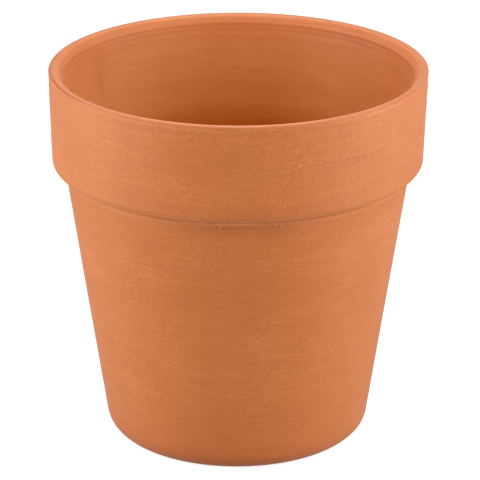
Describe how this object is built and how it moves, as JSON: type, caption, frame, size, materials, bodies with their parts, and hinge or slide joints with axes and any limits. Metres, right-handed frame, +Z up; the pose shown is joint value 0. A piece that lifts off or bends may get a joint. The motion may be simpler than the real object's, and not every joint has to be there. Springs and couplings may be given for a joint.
{
  "type": "terracotta flower pot",
  "caption": "Tapered round clay flower pot with a deep plain collar under the lip and a drainage hole in its floor.",
  "frame": {"origin": "on the ground under the middle of the drainage hole, in the plane that the foot ring stands on", "axes": "+Z up along the pot's axis, from the foot to the lip; X and Y are any two horizontal directions, because the pot is round"},
  "size_m": [0.158, 0.158, 0.1602],
  "materials": {
    "terracotta": "matte"
  },
  "bodies": {
    "root": {"pot": "terracotta"}
  },
  "joints": []
}
